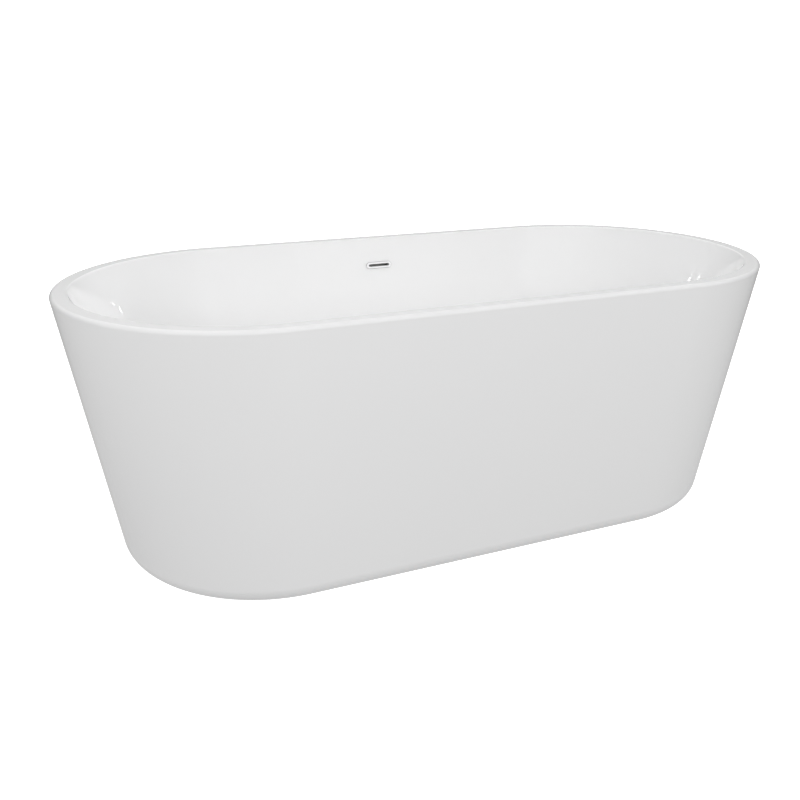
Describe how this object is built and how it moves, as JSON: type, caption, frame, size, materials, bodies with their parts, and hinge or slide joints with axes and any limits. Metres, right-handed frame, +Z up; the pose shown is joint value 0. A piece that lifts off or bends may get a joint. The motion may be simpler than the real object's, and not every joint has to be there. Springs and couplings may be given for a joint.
{
  "type": "freestanding bathtub",
  "caption": "Freestanding acrylic bathtub: tapered oval double shell with a flat rim, slot overflow, toe-touch drain and a levelling frame inside.",
  "frame": {"origin": "on the floor, under the middle of the tub", "axes": "+X along the tub, +Y towards the long wall with the overflow, +Z up"},
  "size_m": [1.6998, 0.8, 0.62],
  "materials": {
    "acrylic": "high-gloss white cast acrylic",
    "glass_fibre": "glass-fibre mat in polyester resin, rough",
    "chipboard": "resin-coated chipboard",
    "galvanised_steel": "spangled galvanised steel",
    "zinc_plate": "bright zinc plate",
    "foot_plastic": "moulded black plastic",
    "chrome": "polished chrome plate",
    "brass": "turned brass",
    "stainless": "stainless steel",
    "acetal": "white acetal",
    "seal_rubber": "black rubber",
    "drain_plastic": "white moulded polypropylene",
    "hose_plastic": "light grey flexible plastic"
  },
  "bodies": {
    "tub": {"inner_basin": "acrylic", "outer_skirt": "acrylic", "rim_joint_strip": "glass_fibre", "base_board": "chipboard", "front_rail": "galvanised_steel", "back_rail": "galvanised_steel", "cross_bar_1": "galvanised_steel", "cross_bar_2": "galvanised_steel", "cross_bar_3": "galvanised_steel", "cross_bar_4": "galvanised_steel", "skirt_bracket_1": "galvanised_steel", "skirt_bracket_2": "galvanised_steel", "skirt_bracket_3": "galvanised_steel", "skirt_bracket_4": "galvanised_steel", "skirt_bracket_5": "galvanised_steel", "skirt_bracket_6": "galvanised_steel", "board_screws": "zinc_plate", "foot_weld_nuts": "zinc_plate", "foot_lock_nuts": "zinc_plate", "bracket_rail_screws": "zinc_plate", "bracket_skirt_screws": "zinc_plate", "drain_flange": "chrome", "overflow_trim": "chrome", "stopper_spring": "stainless", "hose_clamp_top": "stainless", "hose_clamp_bottom": "stainless", "stopper_cartridge": "acetal", "drain_flange_seal": "seal_rubber", "drain_body_washer": "seal_rubber", "tailpiece_washer": "seal_rubber", "overflow_gasket": "seal_rubber", "overflow_box_seal": "seal_rubber", "drain_body": "drain_plastic", "tailpiece": "drain_plastic", "tailpiece_nut": "drain_plastic", "overflow_box": "drain_plastic", "overflow_hose": "hose_plastic"},
    "stopper": {"stopper_cap": "chrome", "stopper_seal": "seal_rubber", "stopper_plunger": "brass"},
    "foot_1_pad": {"foot_pad_1": "foot_plastic"},
    "foot_1_stud": {"foot_stud_1": "zinc_plate"},
    "foot_2_pad": {"foot_pad_2": "foot_plastic"},
    "foot_2_stud": {"foot_stud_2": "zinc_plate"},
    "foot_3_pad": {"foot_pad_3": "foot_plastic"},
    "foot_3_stud": {"foot_stud_3": "zinc_plate"},
    "foot_4_pad": {"foot_pad_4": "foot_plastic"},
    "foot_4_stud": {"foot_stud_4": "zinc_plate"},
    "foot_5_pad": {"foot_pad_5": "foot_plastic"},
    "foot_5_stud": {"foot_stud_5": "zinc_plate"}
  },
  "joints": [
    {"name": "stopper_lift", "type": "slide", "parent": "tub", "child": "stopper", "axis": [0, 0, 1], "range_m": [0, 0.009], "deforming": ["stopper_spring"]},
    {"name": "foot_1_rise", "type": "slide", "parent": "tub", "child": "foot_1_pad", "axis": [0, 0, -1], "range_m": [-0.008, 0.012]},
    {"name": "foot_1_screw", "type": "hinge", "parent": "foot_1_pad", "child": "foot_1_stud", "pos_m": [-0.43, -0.15, 0.05], "axis": [0, 0, -1], "range_deg": [-1646, 2469]},
    {"name": "foot_2_rise", "type": "slide", "parent": "tub", "child": "foot_2_pad", "axis": [0, 0, -1], "range_m": [-0.008, 0.012]},
    {"name": "foot_2_screw", "type": "hinge", "parent": "foot_2_pad", "child": "foot_2_stud", "pos_m": [0.43, -0.15, 0.05], "axis": [0, 0, -1], "range_deg": [-1646, 2469]},
    {"name": "foot_3_rise", "type": "slide", "parent": "tub", "child": "foot_3_pad", "axis": [0, 0, -1], "range_m": [-0.008, 0.012]},
    {"name": "foot_3_screw", "type": "hinge", "parent": "foot_3_pad", "child": "foot_3_stud", "pos_m": [-0.43, 0.15, 0.05], "axis": [0, 0, -1], "range_deg": [-1646, 2469]},
    {"name": "foot_4_rise", "type": "slide", "parent": "tub", "child": "foot_4_pad", "axis": [0, 0, -1], "range_m": [-0.008, 0.012]},
    {"name": "foot_4_screw", "type": "hinge", "parent": "foot_4_pad", "child": "foot_4_stud", "pos_m": [0.43, 0.15, 0.05], "axis": [0, 0, -1], "range_deg": [-1646, 2469]},
    {"name": "foot_5_rise", "type": "slide", "parent": "tub", "child": "foot_5_pad", "axis": [0, 0, -1], "range_m": [-0.008, 0.012]},
    {"name": "foot_5_screw", "type": "hinge", "parent": "foot_5_pad", "child": "foot_5_stud", "pos_m": [-0.16, 0, 0.05], "axis": [0, 0, -1], "range_deg": [-1646, 2469]}
  ],
  "couplings": [
    {"joint": "foot_1_screw", "follows": "foot_1_rise", "rad_per_m": 3590.4},
    {"joint": "foot_2_screw", "follows": "foot_2_rise", "rad_per_m": 3590.4},
    {"joint": "foot_3_screw", "follows": "foot_3_rise", "rad_per_m": 3590.4},
    {"joint": "foot_4_screw", "follows": "foot_4_rise", "rad_per_m": 3590.4},
    {"joint": "foot_5_screw", "follows": "foot_5_rise", "rad_per_m": 3590.4}
  ]
}
